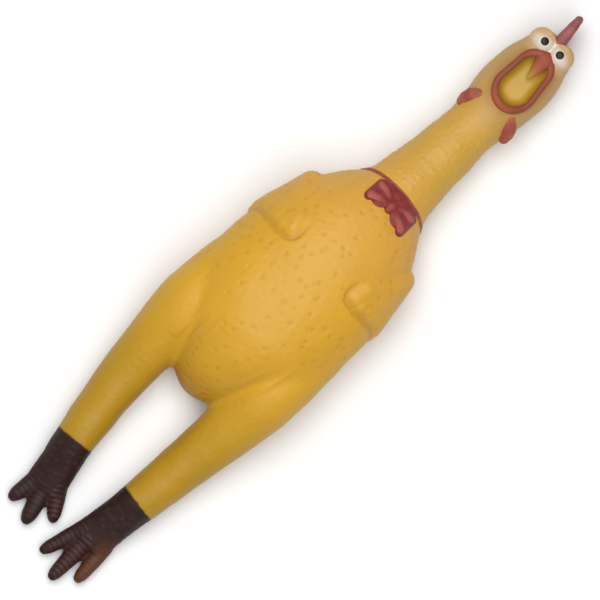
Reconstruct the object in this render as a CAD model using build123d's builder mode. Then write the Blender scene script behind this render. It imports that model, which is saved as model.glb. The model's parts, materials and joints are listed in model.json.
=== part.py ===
"""Squeaking rubber chicken, a hollow soft vinyl toy that lies on its back.

Frame: millimetres, +Z up from the floor to the belly, +Y from the feet to the head, +X to the chicken's
own left. The origin is on the floor, under the middle of the bounding box.
The real skin is one moulding. Here it is cut across its bending zones, so that each stiff stretch can
turn against the next, and along its paint lines, so that each painted feature is a piece of its own.
"""
import os
from math import cos, radians, sin, tan

from build123d import *

os.makedirs("parts", exist_ok=True)

# ---------------------------------------------------------------- driving dimensions
WALL = 2.0  # skin thickness
GAP = 0.4  # clearance between pieces that move against each other
SPAN = 300.0  # larger than any cross-section, for cutting slabs

# Each section of the skin is (y, x, z, half width, half depth); the half depth is never the larger.
TORSO = [
    (71, 0.5, 24.2, 19.0, 18.9),
    (65, 0.5, 24.6, 21.0, 20.5),
    (56, 0.4, 25.8, 27.6, 24.5),
    (46, 0.3, 27.3, 33.8, 27.5),
    (34, 0.2, 29.0, 39.0, 29.6),
    (15, 0.2, 30.3, 44.0, 31.0),
    (-10, 0.2, 30.7, 46.2, 31.5),
    (-34, 0.2, 30.2, 42.0, 31.0),
    (-48, 0.3, 29.4, 33.5, 28.5),
    (-60, 0.4, 28.0, 24.5, 24.0),
    (-70, 0.5, 26.5, 19.0, 18.5),
    (-77, 0.5, 25.5, 14.0, 12.5),
    (-81, 0.5, 25.0, 6.0, 5.5),
]
NECK = [
    (71, 0.5, 24.2, 19.0, 18.9),
    (80, 0.8, 23.3, 17.8, 17.7),
    (88, 0.8, 22.6, 16.7, 16.6),
    (96, 0.8, 21.9, 16.0, 15.9),
    (104, 0.8, 21.3, 15.5, 15.4),
    (112, 0.8, 20.6, 14.7, 14.6),
    (120, 0.8, 20.0, 14.5, 14.4),
    (128, 0.8, 19.4, 15.6, 15.5),
    (138, 0.7, 18.9, 17.4, 17.3),
    (152, 0.5, 18.6, 18.4, 18.3),
    (162, 0.3, 18.6, 17.5, 17.4),
    (171, 0.1, 19.0, 14.8, 14.7),
    (179, 0.0, 20.0, 12.0, 11.9),
    (184, -0.2, 21.0, 7.0, 6.9),
]
RIGHT_LEG = [
    (-28, -27.0, 29.5, 17.0, 16.9),
    (-42, -28.9, 30.0, 19.2, 19.1),
    (-56, -30.0, 28.5, 18.2, 18.1),
    (-80, -29.0, 22.0, 15.2, 15.1),
    (-100, -27.1, 17.4, 13.3, 13.2),
    (-120, -23.9, 14.6, 12.3, 12.2),
    (-140, -19.9, 12.4, 11.3, 11.2),
]
LEFT_LEG = [
    (-28, 27.3, 29.5, 17.0, 16.9),
    (-42, 29.1, 30.0, 19.2, 19.1),
    (-56, 30.2, 28.5, 18.2, 18.1),
    (-80, 30.4, 22.0, 15.4, 15.3),
    (-100, 29.3, 17.4, 13.6, 13.5),
    (-120, 28.0, 14.6, 12.4, 12.3),
    (-140, 26.6, 12.4, 11.3, 11.2),
]
RIGHT_PALM = [(-140, -19.9, 12.4, 11.3, 11.2), (-152, -17.0, 9.6, 11.1, 9.2), (-170, -12.6, 6.6, 12.0, 5.8)]
LEFT_PALM = [(-140, 26.6, 12.4, 11.3, 11.2), (-152, 25.5, 9.6, 10.9, 9.2), (-172, 23.8, 6.6, 12.2, 5.8)]
# Each toe is (root x, root y, tip x, tip y), where the tip is the centre of its round end.
RIGHT_TOES = [(-18.3, -166, -19.5, -182.6), (-12.8, -168, -7.6, -185.6), (-6.4, -163, 0.8, -175.4)]
LEFT_TOES = [(17.5, -168, 12.0, -189.4), (23.6, -170, 23.8, -195.5), (30.5, -168, 32.6, -187.2)]
TOE_ROOT_R = 5.0
TOE_TIP_R = 4.4
TOE_Z = 5.0

# Bending zones: the hinge line's place along Y, and the largest turn either way in degrees.
NECK_NOD_Y, NECK_NOD_TURN = 78.0, 40.0
NECK_SWAY_Y, NECK_SWAY_TURN = 97.0, 35.0
HIP_Y, HIP_TURN = -90.0, 45.0
KNEE_Y, KNEE_TURN = -112.0, 30.0
ANKLE_Y, ANKLE_TURN = -133.5, 45.0

# The belly panel that a hand presses in: an oval, seen from the front.
BELLY_Y, BELLY_HALF_LENGTH, BELLY_HALF_WIDTH = -6.0, 45.0, 25.4
BELLY_CUT_Z = 38.0

# The face stands a little askew on the head, leaning to the chicken's right.
FACE_X, FACE_Y, FACE_LEAN = 0.8, 155.0, 4.0
JAW_R, JAW_Y = 8.8, -5.4  # the mouth is an egg: a wide round end at the jaw
UPPER_R, UPPER_Y = 6.0, 8.2  # and a narrow round end under the beak
LIP_WIDTH, LIP_END, LIP_RISE = 3.6, 1.2, 2.0
MOUTH_FLOOR_Z = 27.0
EYE_R, EYE_X, EYE_Y, EYE_Z = 7.2, 6.6, 22.6, 29.0
PUPIL_R, PUPIL_X, PUPIL_Y, PUPIL_RISE = 2.15, 5.3, 23.0, 0.35
COMB_ROOT_HALF, COMB_TIP_HALF = 3.7, 1.4

# The squeaker, a drum with a clamped reed, pressed into the throat.
SOCKET_R, SOCKET_LOW_Y, SOCKET_TOP_Y = 10.0, 104.0, 133.0
SOUND_HOLE_R, SOUND_HOLE_RISE, SOUND_HOLE_LENGTH = 2.8, 32.0, 14.0
DRUM_WALL = 1.2
DRUM_LENGTH = 24.0
CAP_THICK = 1.6
REED_THICK, REED_WIDTH, REED_LENGTH = 0.3, 7.0, 17.0
THROAT_X, THROAT_Z = 0.8, 19.8
SOUND_HOLE_Z = THROAT_Z + 5.0


# ---------------------------------------------------------------- helpers
def across(x, y, z):
    """A plane that stands across the Y axis."""
    return Plane(origin=(x, y, z), x_dir=(1, 0, 0), z_dir=(0, 1, 0))


def skin(sections, grow=0.0):
    """One smooth solid through the sections, each grown outwards by the same amount."""
    with BuildPart() as form:
        for y, x, z, half_width, half_depth in sections:
            with BuildSketch(across(x, y, z)):
                Ellipse(half_width + grow, half_depth + grow)
        loft()
    return form.part


def hollow(sections):
    """The skin as a shell, open at both ends."""
    with BuildPart() as shell:
        add(skin(sections))
        add(skin(sections, -WALL), mode=Mode.SUBTRACT)
    return shell.part


def stretch(form, y_low, y_high):
    """The length of a form between two planes across the Y axis."""
    with BuildPart() as piece:
        add(form)
        with Locations((0, (y_low + y_high) / 2, 0)):
            Box(SPAN, y_high - y_low, SPAN, mode=Mode.INTERSECT)
    return piece.part


def reach_at(sections, y):
    """The larger half size of the skin at a station, for the room that a bend needs."""
    for (y0, _, _, w0, _), (y1, _, _, w1, _) in zip(sections, sections[1:]):
        if min(y0, y1) <= y <= max(y0, y1):
            return w0 + (w1 - w0) * (y - y0) / (y1 - y0)
    raise ValueError("the station is off the end of the skin")


def half_zone(sections, y, turn):
    """Half the length of a bending zone that lets its two stiff ends turn by that angle."""
    return reach_at(sections, y) * tan(radians(turn / 2)) + GAP


def finish(piece, name):
    """Labels a finished piece and writes it."""
    piece.label = name
    export_step(piece, f"parts/{name}.step")


def face_point(x, y):
    """A point of the leaning face, as x and y of the whole chicken."""
    lean = radians(FACE_LEAN)
    return (FACE_X + x * cos(lean) - y * sin(lean), FACE_Y + x * sin(lean) + y * cos(lean))


def face_plane(z):
    """A plane facing the belly side that leans with the face."""
    lean = radians(FACE_LEAN)
    return Plane(origin=(FACE_X, FACE_Y, z), x_dir=(cos(lean), sin(lean), 0), z_dir=(0, 0, 1))


neck_nod_half = half_zone(NECK, NECK_NOD_Y, NECK_NOD_TURN)
neck_sway_half = half_zone(NECK, NECK_SWAY_Y, NECK_SWAY_TURN)
hip_half = half_zone(LEFT_LEG, HIP_Y, HIP_TURN)
knee_half = half_zone(LEFT_LEG, KNEE_Y, KNEE_TURN)
ankle_half = half_zone(LEFT_LEG, ANKLE_Y, ANKLE_TURN)
head_start = NECK_SWAY_Y + neck_sway_half
foot_start = ANKLE_Y - ankle_half
print(f"bending zones: neck {neck_nod_half:.1f} and {neck_sway_half:.1f}, hip {hip_half:.1f},",
      f"knee {knee_half:.1f}, ankle {ankle_half:.1f}, foot starts at {foot_start:.1f}")

torso_form = skin(TORSO)
head_form = skin(NECK)


# ---------------------------------------------------------------- torso and belly
with BuildPart() as trunk:  # the hollow trunk with the tops of both thighs
    add(torso_form)
    for leg in (RIGHT_LEG, LEFT_LEG):
        add(stretch(skin(leg), HIP_Y + hip_half, leg[0][0]))
    add(skin(TORSO[:-1], -WALL), mode=Mode.SUBTRACT)
    for leg in (RIGHT_LEG, LEFT_LEG):
        add(stretch(skin(leg, -WALL), HIP_Y + hip_half, leg[0][0]), mode=Mode.SUBTRACT)
    with Locations((0, 0, -SPAN / 2)):
        Box(2 * SPAN, 2 * SPAN, SPAN, mode=Mode.SUBTRACT)  # the flat that the toy lies on

with BuildPart() as torso_shell:
    add(trunk.part)
    with BuildSketch(Plane.XY.offset(BELLY_CUT_Z)):
        with Locations((0, BELLY_Y)):
            Ellipse(BELLY_HALF_LENGTH, BELLY_HALF_WIDTH, rotation=90)
    extrude(amount=SPAN, mode=Mode.SUBTRACT)
finish(torso_shell.part, "torso_shell")

with BuildPart() as belly_panel:
    add(trunk.part)
    with BuildSketch(Plane.XY.offset(BELLY_CUT_Z)):
        with Locations((0, BELLY_Y)):
            Ellipse(BELLY_HALF_LENGTH - GAP, BELLY_HALF_WIDTH - GAP, rotation=90)
    extrude(amount=SPAN, mode=Mode.INTERSECT)
finish(belly_panel.part, "belly_panel")


# ---------------------------------------------------------------- wings, collar and bow tie
def raised(outline_points, rise, corner, base_z):
    """A pad that follows the torso: a rounded outline seen from the front, raised off the skin."""
    with BuildPart() as pad:
        with BuildSketch(Plane.XY.offset(base_z)):
            with BuildLine():
                Polyline(*outline_points, close=True)
            make_face()
            fillet(vertices(), corner)
        extrude(amount=SPAN)
        add(skin(TORSO, rise), mode=Mode.INTERSECT)
        add(torso_form, mode=Mode.SUBTRACT)
    return pad.part


# A wing is folded along the side, with three feather tips towards the feet. Seen from the front (x, y):
WING_FRONT = [(30, 46), (60, 46), (60, -4), (40, -4), (35, 12), (24.4, 10), (26, 26)]
# Seen from the side (y, z):
WING_SIDE = [(46, 25), (46, 38), (34, 64), (10, 64), (14, 47), (0, 46), (4, 33), (-2, 31), (3, 19), (14, 13)]
WING_RISE, WING_CORNER = 3.0, 2.0


def make_wing(side):
    """One wing, raised off the trunk's side."""
    with BuildPart() as wing:
        add(raised([(side * x, y) for x, y in WING_FRONT], WING_RISE, WING_CORNER, 0))
        with BuildSketch(Plane.YZ):
            with BuildLine():
                Polyline(*WING_SIDE, close=True)
            make_face()
            fillet(vertices(), WING_CORNER)
        extrude(amount=SPAN, both=True, mode=Mode.INTERSECT)
    return wing.part


for side, word in ((1, "left"), (-1, "right")):
    finish(make_wing(side), f"{word}_wing")

COLLAR_Y, COLLAR_Z, COLLAR_TILT, COLLAR_WIDTH, COLLAR_RISE = 63.8, 24.6, -17.0, 2.4, 0.8
with BuildPart() as collar:
    add(skin(TORSO, COLLAR_RISE))
    add(torso_form, mode=Mode.SUBTRACT)
    with BuildSketch(across(0, COLLAR_Y, COLLAR_Z).rotated((COLLAR_TILT, 0, 0))):
        Rectangle(SPAN, SPAN)
    extrude(amount=COLLAR_WIDTH / 2, both=True, mode=Mode.INTERSECT)
finish(collar.part, "collar")

BOW_X, BOW_Y = 3.0, 60.8
# Half outlines, from the bow's middle outwards.
BOW_WING = [(2.4, 2.6), (6, 5.8), (13.4, 6.6), (14.6, 0), (14.4, -8), (8, -7), (2.4, -2.6)]
BOW_RISE, KNOT_RISE, BOW_CORNER = 2.2, 3.2, 1.0
BOW_KNOT = [(3.4, 4), (3.4, -5), (-3.4, -5), (-3.4, 4)]
with BuildPart() as bow_tie:
    for side in (1, -1):
        loop_outline = [(BOW_X + side * x, BOW_Y + y) for x, y in BOW_WING]
        add(raised(loop_outline, BOW_RISE, BOW_CORNER, COLLAR_Z))
    add(raised([(BOW_X + x, BOW_Y + y) for x, y in BOW_KNOT], KNOT_RISE, BOW_CORNER, COLLAR_Z))
    add(collar.part, mode=Mode.SUBTRACT)
finish(bow_tie.part, "bow_tie")

# ---------------------------------------------------------------- neck
neck_shell = hollow(NECK[:8])

with BuildPart() as neck_base:
    add(stretch(neck_shell, NECK[0][0], NECK_NOD_Y + neck_nod_half))
finish(neck_base.part, "neck_base")

with BuildPart() as neck:
    add(stretch(neck_shell, NECK_NOD_Y + neck_nod_half, NECK_SWAY_Y - neck_sway_half))
finish(neck.part, "neck")

with BuildPart() as neck_bend:
    add(stretch(neck_shell, NECK_SWAY_Y - neck_sway_half, head_start))
finish(neck_bend.part, "neck_bend")

# ---------------------------------------------------------------- head
SKULL_LOW_Y, SKULL_TOP_Y = 137.0, 180.0


def mouth_block(grow, z_low, lengthen=0.0):
    """An upright block with the mouth's egg outline, on the leaning face."""
    with BuildPart() as block:
        with BuildSketch(face_plane(z_low)):
            with Locations((0, JAW_Y - lengthen)):
                Circle(JAW_R + grow)
            with Locations((0, UPPER_Y + lengthen)):
                Circle(UPPER_R + grow)
            make_hull()
        extrude(amount=SPAN)
    return block.part


with BuildPart() as pocket:
    add(mouth_block(WALL, MOUTH_FLOOR_Z - WALL))
    add(head_form, mode=Mode.INTERSECT)
pocket_skin = pocket.part

with BuildPart() as head_shell:
    add(stretch(head_form, head_start, NECK[-1][0]))
    # the hollow skull, which the mouth pocket hangs into
    add(stretch(skin(NECK[:-1], -WALL), SKULL_LOW_Y, SKULL_TOP_Y), mode=Mode.SUBTRACT)
    add(pocket_skin)
    add(mouth_block(0, MOUTH_FLOOR_Z), mode=Mode.SUBTRACT)
    # the throat: a round seat for the squeaker and a sound hole into the mouth
    with BuildSketch(across(THROAT_X, head_start, THROAT_Z)):
        Circle(SOCKET_R)
    extrude(amount=SOCKET_TOP_Y - head_start, mode=Mode.SUBTRACT)
    rise = radians(SOUND_HOLE_RISE)
    sound_start = (THROAT_X, SOCKET_TOP_Y - 2, SOUND_HOLE_Z)
    with BuildSketch(Plane(origin=sound_start, z_dir=(0, cos(rise), sin(rise)))):
        Circle(SOUND_HOLE_R)
    extrude(amount=SOUND_HOLE_LENGTH, mode=Mode.SUBTRACT)
finish(head_shell.part, "head_shell")

with BuildPart() as lips:
    add(mouth_block(LIP_WIDTH, MOUTH_FLOOR_Z, LIP_END))
    add(mouth_block(0, 0), mode=Mode.SUBTRACT)
    add(skin(NECK, LIP_RISE), mode=Mode.INTERSECT)
    add(head_form, mode=Mode.SUBTRACT)
finish(lips.part, "lips")

# The hooked point of the upper beak hangs into the mouth from its top edge.
BEAK_HALF_ROOT, BEAK_HALF_TIP, BEAK_TIP_Y, BEAK_ROOT_Y = 3.4, 0.9, 2.0, 15.0
BEAK_LOW_Z, BEAK_HIGH_Z = 28.5, 35.5
with BuildPart() as upper_beak:
    with BuildSketch(face_plane(BEAK_LOW_Z)):
        with BuildLine():
            Polyline((-BEAK_HALF_ROOT, BEAK_ROOT_Y), (-BEAK_HALF_TIP, BEAK_TIP_Y),
                     (BEAK_HALF_TIP, BEAK_TIP_Y), (BEAK_HALF_ROOT, BEAK_ROOT_Y), close=True)
        make_face()
    extrude(amount=BEAK_HIGH_Z - BEAK_LOW_Z)
    add(mouth_block(0, MOUTH_FLOOR_Z), mode=Mode.INTERSECT)
finish(upper_beak.part, "upper_beak")


def eye_ball(side, radius):
    """The eye's ball on one side of the leaning face."""
    x, y = face_point(side * EYE_X, EYE_Y)
    with BuildPart() as ball:
        with Locations((x, y, EYE_Z)):
            Sphere(radius)
    return ball.part


def make_eye(side):
    """The white of one eye, sitting on the skull."""
    with BuildPart() as eye:
        add(eye_ball(side, EYE_R))
        add(head_form, mode=Mode.SUBTRACT)
        # the two balls meet on the face's middle line
        with Locations(face_plane(0)):
            with Locations((-side * SPAN / 2, 0, 0)):
                Box(SPAN, SPAN, SPAN, mode=Mode.SUBTRACT)
        add(lips.part, mode=Mode.SUBTRACT)
    return eye.part


def make_pupil(side):
    """The black pupil of one eye, a thin raised cap on its ball."""
    with BuildPart() as pupil:
        with BuildSketch(face_plane(EYE_Z)):
            with Locations((side * PUPIL_X, PUPIL_Y)):
                Circle(PUPIL_R)
        extrude(amount=SPAN)
        add(eye_ball(side, EYE_R + PUPIL_RISE), mode=Mode.INTERSECT)
        add(eye_ball(side, EYE_R), mode=Mode.SUBTRACT)
    return pupil.part


for side, word in ((1, "left"), (-1, "right")):
    finish(make_eye(side), f"{word}_eye")
    finish(make_pupil(side), f"{word}_pupil")

# The comb is a thin fin over the skull, with three points, thick at its root.
COMB_SIDE = [(172, 8), (181, 2), (186.5, 6.5), (188, 9.5), (195.5, 13), (190.5, 18), (201, 23),
             (191.5, 27.5), (194.5, 33), (184, 33.5), (172, 30)]
with BuildPart() as comb:
    with BuildSketch(Plane.YZ):
        with BuildLine():
            Polyline(*COMB_SIDE, close=True)
        make_face()
        fillet(vertices(), 0.8)
    extrude(amount=SPAN / 10, both=True)
    with BuildSketch(face_plane(-SPAN / 2)):
        with BuildLine():
            comb_root_y, comb_tip_y = 17.0, 46.0
            Polyline((-COMB_ROOT_HALF - 2, comb_root_y), (-COMB_TIP_HALF, comb_tip_y),
                     (COMB_TIP_HALF, comb_tip_y), (COMB_ROOT_HALF + 2, comb_root_y), close=True)
        make_face()
    extrude(amount=SPAN, mode=Mode.INTERSECT)
    add(head_form, mode=Mode.SUBTRACT)
    for side in (1, -1):
        add(eye_ball(side, EYE_R + GAP / 4), mode=Mode.SUBTRACT)
finish(comb.part, "comb")


# Wattles: soft lobes at the corners of the jaw.
WATTLE_X, WATTLE_Y, WATTLE_Z, WATTLE_TILT = 13.6, 131.0, 23.0, 20.0
WATTLE_HALF = (4.0, 7.6, 6.0)


def make_wattle(side):
    """One lobe, hanging outwards from the jaw."""
    with BuildPart() as wattle:
        Sphere(1)
        scale(by=WATTLE_HALF)
    placed = wattle.part.rotate(Axis.Z, side * WATTLE_TILT)
    placed = placed.translate((FACE_X + side * WATTLE_X, WATTLE_Y, WATTLE_Z))
    with BuildPart() as lobe:
        add(placed)
        add(head_form, mode=Mode.SUBTRACT)
        add(lips.part, mode=Mode.SUBTRACT)
    return lobe.part


for side, word in ((1, "left"), (-1, "right")):
    finish(make_wattle(side), f"{word}_wattle")


# ---------------------------------------------------------------- squeaker
drum_low_y = SOCKET_TOP_Y - DRUM_LENGTH
bore_r = SOCKET_R - DRUM_WALL

with BuildPart() as squeaker_drum:
    with BuildSketch(across(THROAT_X, drum_low_y, THROAT_Z)):
        Circle(SOCKET_R)
    extrude(amount=DRUM_LENGTH)
    with BuildSketch(across(THROAT_X, drum_low_y, THROAT_Z)):
        Circle(bore_r)
    extrude(amount=DRUM_LENGTH - CAP_THICK, mode=Mode.SUBTRACT)
    with BuildSketch(across(THROAT_X, SOCKET_TOP_Y - CAP_THICK, THROAT_Z)):
        with Locations((0, THROAT_Z - SOUND_HOLE_Z)):
            Circle(SOUND_HOLE_R)
    extrude(amount=CAP_THICK, mode=Mode.SUBTRACT)
finish(squeaker_drum.part, "squeaker_drum")

with BuildPart() as squeaker_cap:
    with BuildSketch(across(THROAT_X, drum_low_y, THROAT_Z)):
        Circle(bore_r)
        with PolarLocations(bore_r * 0.6, 6):
            Circle(1.3, mode=Mode.SUBTRACT)
    extrude(amount=CAP_THICK)
finish(squeaker_cap.part, "squeaker_cap")

# The reed block fills the lower half of the drum. Its top is flat at the root, where the reed is
# clamped, and has a groove under the reed's free length that leads to the sound hole's side.
block_low_y = drum_low_y + CAP_THICK
block_top_y = SOCKET_TOP_Y - CAP_THICK
reed_top_z = THROAT_Z + REED_THICK
CLAMP_LENGTH = 6.0
GROOVE_WIDTH, GROOVE_DEPTH = 5.0, 4.0
GROOVE_END = 3.0


def half_drum(y_low, y_high, z_low, z_high):
    """A length of the drum's bore between two levels."""
    with BuildPart() as core:
        with BuildSketch(across(THROAT_X, y_low, THROAT_Z)):
            Circle(bore_r)
        extrude(amount=y_high - y_low)
        with Locations((THROAT_X, (y_low + y_high) / 2, (z_low + z_high) / 2)):
            Box(SPAN, SPAN, z_high - z_low, mode=Mode.INTERSECT)
    return core.part


with BuildPart() as reed_block:
    add(half_drum(block_low_y, block_top_y, THROAT_Z - SOCKET_R, THROAT_Z))
    groove_low_y = block_low_y + CLAMP_LENGTH
    groove_top_y = block_top_y - GROOVE_END
    with Locations((THROAT_X, (groove_low_y + groove_top_y) / 2, THROAT_Z - GROOVE_DEPTH / 2)):
        Box(GROOVE_WIDTH, groove_top_y - groove_low_y, GROOVE_DEPTH, mode=Mode.SUBTRACT)
    with BuildSketch(across(THROAT_X, block_low_y, THROAT_Z - GROOVE_DEPTH)):
        Circle(1.5)
    extrude(amount=CLAMP_LENGTH + 1, mode=Mode.SUBTRACT)
finish(reed_block.part, "reed_block")

with BuildPart() as reed_wedge:
    add(half_drum(block_low_y, block_low_y + CLAMP_LENGTH, reed_top_z, THROAT_Z + SOCKET_R))
finish(reed_wedge.part, "reed_wedge")

# The reed's root is held flat under the wedge, and its tongue stands just off the groove.
REED_LIFT = 0.4
root_length = CLAMP_LENGTH
with BuildPart() as reed_root:
    with Locations((THROAT_X, block_low_y + root_length / 2, THROAT_Z + REED_THICK / 2)):
        Box(REED_WIDTH, root_length, REED_THICK)
finish(reed_root.part, "reed_root")

tongue_low_y = block_low_y + root_length + GAP / 2
tongue_top_y = block_low_y + REED_LENGTH
with BuildPart() as reed:
    with Locations((THROAT_X, (tongue_low_y + tongue_top_y) / 2, reed_top_z + REED_LIFT)):
        Box(REED_WIDTH, tongue_top_y - tongue_low_y, REED_THICK)
finish(reed.part, "reed")


# ---------------------------------------------------------------- legs and feet
def tube(form_sections, y_low, y_high):
    """A stretch of a leg's hollow skin."""
    return stretch(hollow(form_sections), y_low, y_high)


def make_foot(leg, palm, toes):
    """A foot: the leg's end, a flattening palm and three tapering toes, one moulding."""
    with BuildPart() as foot:
        add(stretch(skin(leg), palm[0][0], foot_start))
        add(skin(palm))
        for root_x, root_y, tip_x, tip_y in toes:
            heading = (tip_x - root_x, tip_y - root_y, 0)
            with BuildSketch(Plane(origin=(root_x, root_y, TOE_Z + 0.3), z_dir=heading)):
                Circle(TOE_ROOT_R)
            with BuildSketch(Plane(origin=(tip_x, tip_y, TOE_Z - 0.3), z_dir=heading)):
                Circle(TOE_TIP_R)
            loft()
            with Locations((tip_x, tip_y, TOE_Z - 0.3)):
                Sphere(TOE_TIP_R)
        with Locations((0, 0, -SPAN / 2)):
            Box(2 * SPAN, 2 * SPAN, SPAN, mode=Mode.SUBTRACT)
    return foot.part


for word, leg, palm, toes in (("right", RIGHT_LEG, RIGHT_PALM, RIGHT_TOES),
                              ("left", LEFT_LEG, LEFT_PALM, LEFT_TOES)):
    finish(tube(leg, HIP_Y - hip_half, HIP_Y + hip_half), f"{word}_hip_bend")
    finish(tube(leg, KNEE_Y + knee_half, HIP_Y - hip_half), f"{word}_upper_leg")
    finish(tube(leg, KNEE_Y - knee_half, KNEE_Y + knee_half), f"{word}_knee_bend")
    finish(tube(leg, ANKLE_Y + ankle_half, KNEE_Y - knee_half), f"{word}_lower_leg")
    finish(tube(leg, foot_start, ANKLE_Y + ankle_half), f"{word}_ankle_bend")
    finish(make_foot(leg, palm, toes), f"{word}_foot")
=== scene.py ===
# %% [markdown]
# # A squeaking rubber chicken
# The real toy is one hollow skin of soft vinyl, cast in a mould, with sprayed and brushed paint for the
# feet, the mouth, the eyes, the comb and the bow tie. A small squeaker is pressed into its throat.
# Here the skin is made as clay is: rough lumps are pushed together, kneaded into one surface, smoothed and
# pimpled, and only then cut where the toy bends. The raised painted features are pieces of their own.

# %% Open the frame
import json
from math import atan2, cos, pi, radians, sin, sqrt

import bmesh
import bpy
from mathutils import Matrix, Vector, noise
from mathutils.bvhtree import BVHTree
from mathutils.geometry import intersect_point_line


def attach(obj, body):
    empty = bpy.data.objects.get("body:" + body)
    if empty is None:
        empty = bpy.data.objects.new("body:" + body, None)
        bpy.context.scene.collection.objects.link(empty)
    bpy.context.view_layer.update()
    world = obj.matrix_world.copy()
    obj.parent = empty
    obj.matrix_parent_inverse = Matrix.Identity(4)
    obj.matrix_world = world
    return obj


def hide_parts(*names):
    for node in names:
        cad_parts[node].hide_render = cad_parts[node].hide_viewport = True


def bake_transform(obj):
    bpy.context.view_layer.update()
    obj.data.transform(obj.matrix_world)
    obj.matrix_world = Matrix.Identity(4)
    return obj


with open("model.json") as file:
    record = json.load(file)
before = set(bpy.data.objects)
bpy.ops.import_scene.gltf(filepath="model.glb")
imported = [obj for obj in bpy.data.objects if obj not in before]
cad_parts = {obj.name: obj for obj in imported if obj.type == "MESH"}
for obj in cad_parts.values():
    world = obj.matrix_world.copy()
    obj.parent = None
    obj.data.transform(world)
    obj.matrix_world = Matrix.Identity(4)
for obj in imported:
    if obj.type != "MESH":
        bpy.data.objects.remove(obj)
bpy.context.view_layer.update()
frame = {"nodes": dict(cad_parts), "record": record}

# %% [markdown]
# ## The camera and the light
# The toy lies on its back on a white table, and the camera looks straight down on its belly from far away,
# turned so that the head points to the upper right. A long lens far away draws almost no perspective.
# Two wide soft lamps overhead and a pale room give the soft, even light of a catalogue picture.

# %% Camera, lamps, room and floor
MM = 0.001
CAMERA_HEIGHT = 4.0
VIEW_WIDTH = 0.3102  # of the table, at the height of the toy's widest outline
VIEW_CENTRE = (0.00635, -0.00638)
VIEW_TURN = radians(47.3)
OUTLINE_HEIGHT = 0.025
ROOM_LIGHT = 0.22

scene = bpy.context.scene
lens = bpy.data.cameras.new("camera")
lens.lens = lens.sensor_width * (CAMERA_HEIGHT - OUTLINE_HEIGHT) / VIEW_WIDTH
lens.clip_end = 20.0
camera = bpy.data.objects.new("camera", lens)
camera.location = (*VIEW_CENTRE, CAMERA_HEIGHT)
camera.rotation_euler = (0, 0, VIEW_TURN)
scene.collection.objects.link(camera)
scene.camera = camera


def lamp(name, place, size, watts):
    """A soft square lamp that points at the toy and stays out of the picture."""
    light = bpy.data.lights.new(name, "AREA")
    light.size = size
    light.energy = watts
    holder = bpy.data.objects.new(name, light)
    holder.location = place
    holder.rotation_euler = (-Vector(place)).to_track_quat("-Z", "Y").to_euler()
    holder.visible_camera = False
    scene.collection.objects.link(holder)


lamp("key_lamp", place=(-0.40, 0.28, 1.8), size=1.2, watts=24.0)
lamp("fill_lamp", place=(0.5, -0.28, 1.8), size=1.2, watts=14.0)
scene.view_settings.view_transform = "Standard"
scene.view_settings.look = "None"
room = bpy.data.worlds.new("room")
room.use_nodes = True
room.node_tree.nodes["Background"].inputs["Color"].default_value = (1, 1, 1, 1)
room.node_tree.nodes["Background"].inputs["Strength"].default_value = ROOM_LIGHT
scene.world = room
print(f"camera {CAMERA_HEIGHT} m up, lens {lens.lens:.0f} mm")

# %% [markdown]
# ## Shader maths as Python
# A node tree is easier to read as sums. `Value` holds one output socket, and its operators add Math nodes.
# `Recipe` holds one material: `node` adds any other node, and a few short methods name the ones used often.
# Patterns follow the `rest` attribute, the place of each point when the toy lies still, so that the paint
# and the grain stay on the skin when it bends.

# %% The two shader classes


class Value:
    """One output socket, with arithmetic that adds Math nodes."""

    def __init__(self, recipe, socket):
        self.recipe = recipe
        self.socket = socket

    def maths(self, operation, a, b=0.0):
        return self.recipe.node("ShaderNodeMath", {"operation": operation}, {0: a, 1: b})

    def __add__(self, other):
        return self.maths("ADD", self, other)

    def __sub__(self, other):
        return self.maths("SUBTRACT", self, other)

    def __rsub__(self, other):
        return self.maths("SUBTRACT", other, self)

    def __mul__(self, other):
        return self.maths("MULTIPLY", self, other)

    def __truediv__(self, other):
        return self.maths("DIVIDE", self, other)

    def __pow__(self, other):
        return self.maths("POWER", self, other)

    def __abs__(self):
        return self.maths("ABSOLUTE", self)

    __radd__ = __add__
    __rmul__ = __mul__


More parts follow.
